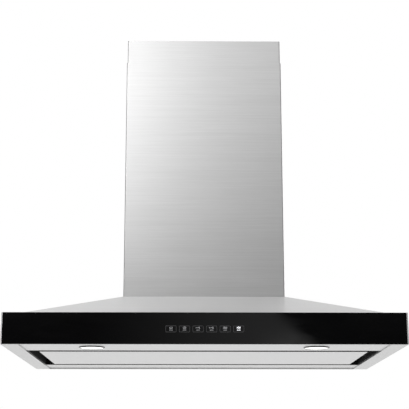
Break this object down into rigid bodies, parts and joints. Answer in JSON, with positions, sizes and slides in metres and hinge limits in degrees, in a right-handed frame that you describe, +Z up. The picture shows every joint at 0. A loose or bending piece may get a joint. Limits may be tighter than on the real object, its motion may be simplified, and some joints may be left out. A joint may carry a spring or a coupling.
{
  "type": "island range hood",
  "caption": "Ceiling-hung island extractor: telescopic box flue over a wide sloped canopy, black glass front with push keys, two round lamps, hinged perimeter-suction panel.",
  "frame": {"origin": "centre of the ceiling plate's top face, where the hood meets the ceiling", "axes": "+Z up into the ceiling, +X along the canopy's long side to the right seen from the front, the glass front faces -Y"},
  "size_m": [0.9, 0.6, 0.764],
  "materials": {
    "stainless": "brushed, satin, horizontal grain",
    "bezel_steel": "turned, satin",
    "zinc_steel": "zinc plated, dull",
    "black_steel": "matt black powder coat",
    "black_glass": "gloss, back-painted black",
    "black_plastic": "moulded, matt",
    "key_plastic": "gloss, lit symbol",
    "circuit_board": "solder mask",
    "lamp_lens": "frosted",
    "aluminium": "mill finish",
    "filter_mesh": "layered expanded mesh",
    "motor_paint": "satin grey paint",
    "bright_steel": "ground",
    "grey_plastic": "moulded, matt"
  },
  "bodies": {
    "ceiling_section": {"ceiling_plate": "zinc_steel", "upper_post_front_left": "zinc_steel", "upper_post_front_right": "zinc_steel", "upper_post_rear_left": "zinc_steel", "upper_post_rear_right": "zinc_steel", "upper_post_bolts": "zinc_steel", "upper_flue_front": "stainless", "upper_flue_rear": "stainless", "upper_flue_screws": "zinc_steel"},
    "hood": {"lower_post_front_left": "zinc_steel", "lower_post_front_right": "zinc_steel", "lower_post_rear_left": "zinc_steel", "lower_post_rear_right": "zinc_steel", "post_clamp_screws": "zinc_steel", "lower_flue_front": "stainless", "lower_flue_rear": "stainless", "lower_flue_screws": "zinc_steel", "flue_seat": "zinc_steel", "canopy_shell": "stainless", "chassis_plate": "zinc_steel", "side_rail_left": "stainless", "side_rail_right": "stainless", "front_strip": "stainless", "rear_strip": "stainless", "suction_liner": "black_steel", "glass_panel": "black_glass", "key_housing": "black_plastic", "control_board": "circuit_board", "power_box": "black_steel", "lamp_bezel_left": "bezel_steel", "lamp_bezel_right": "bezel_steel", "lamp_lens_left": "lamp_lens", "lamp_lens_right": "lamp_lens", "lamp_bodies": "aluminium", "filter_frame_left": "aluminium", "filter_frame_right": "aluminium", "filter_mesh_left": "filter_mesh", "filter_mesh_right": "filter_mesh", "hinge_brackets": "zinc_steel", "panel_catches": "zinc_steel", "blower_box": "zinc_steel", "scroll_housing": "zinc_steel", "motor": "motor_paint", "motor_bracket": "zinc_steel", "outlet_collar": "zinc_steel", "damper_pin": "bright_steel"},
    "perimeter_panel": {"panel_skin": "stainless", "panel_back": "zinc_steel"},
    "fan": {"fan_wheel": "zinc_steel", "motor_shaft": "bright_steel"},
    "damper_left": {"damper_flap_left": "grey_plastic"},
    "damper_right": {"damper_flap_right": "grey_plastic"},
    "latch_left": {"filter_latch_left": "aluminium"},
    "latch_right": {"filter_latch_right": "aluminium"},
    "power_key": {"key_power": "key_plastic"},
    "timer_key": {"key_timer": "key_plastic"},
    "speed_down_key": {"key_speed_down": "key_plastic"},
    "speed_up_key": {"key_speed_up": "key_plastic"},
    "filter_key": {"key_filter": "key_plastic"},
    "light_key": {"key_light": "key_plastic"}
  },
  "joints": [
    {"name": "height_adjust", "type": "slide", "parent": "ceiling_section", "child": "hood", "axis": [0, 0, 1], "range_m": [-0.3, 0]},
    {"name": "panel_swing", "type": "hinge", "parent": "hood", "child": "perimeter_panel", "pos_m": [0, 0.184, -0.745], "axis": [1, 0, 0], "range_deg": [0, 90]},
    {"name": "fan_spin", "type": "hinge", "parent": "hood", "child": "fan", "pos_m": [-0.0515, 0, -0.5905], "axis": [0, 1, 0], "continuous": true},
    {"name": "damper_left_lift", "type": "hinge", "parent": "hood", "child": "damper_left", "pos_m": [0, 0, -0.412], "axis": [0, 1, 0], "range_deg": [0, 75]},
    {"name": "damper_right_lift", "type": "hinge", "parent": "hood", "child": "damper_right", "pos_m": [0, 0, -0.412], "axis": [0, -1, 0], "range_deg": [0, 75]},
    {"name": "latch_left_slide", "type": "slide", "parent": "hood", "child": "latch_left", "axis": [0, 1, 0], "range_m": [0, 0.008], "stiffness_N_per_m": 300, "springref_m": -0.003},
    {"name": "latch_right_slide", "type": "slide", "parent": "hood", "child": "latch_right", "axis": [0, 1, 0], "range_m": [0, 0.008], "stiffness_N_per_m": 300, "springref_m": -0.003},
    {"name": "power_press", "type": "slide", "parent": "hood", "child": "power_key", "axis": [0, 1, 0], "range_m": [0, 0.001], "stiffness_N_per_m": 1500, "springref_m": -0.0003},
    {"name": "timer_press", "type": "slide", "parent": "hood", "child": "timer_key", "axis": [0, 1, 0], "range_m": [0, 0.001], "stiffness_N_per_m": 1500, "springref_m": -0.0003},
    {"name": "speed_down_press", "type": "slide", "parent": "hood", "child": "speed_down_key", "axis": [0, 1, 0], "range_m": [0, 0.001], "stiffness_N_per_m": 1500, "springref_m": -0.0003},
    {"name": "speed_up_press", "type": "slide", "parent": "hood", "child": "speed_up_key", "axis": [0, 1, 0], "range_m": [0, 0.001], "stiffness_N_per_m": 1500, "springref_m": -0.0003},
    {"name": "filter_press", "type": "slide", "parent": "hood", "child": "filter_key", "axis": [0, 1, 0], "range_m": [0, 0.001], "stiffness_N_per_m": 1500, "springref_m": -0.0003},
    {"name": "light_press", "type": "slide", "parent": "hood", "child": "light_key", "axis": [0, 1, 0], "range_m": [0, 0.001], "stiffness_N_per_m": 1500, "springref_m": -0.0003}
  ]
}
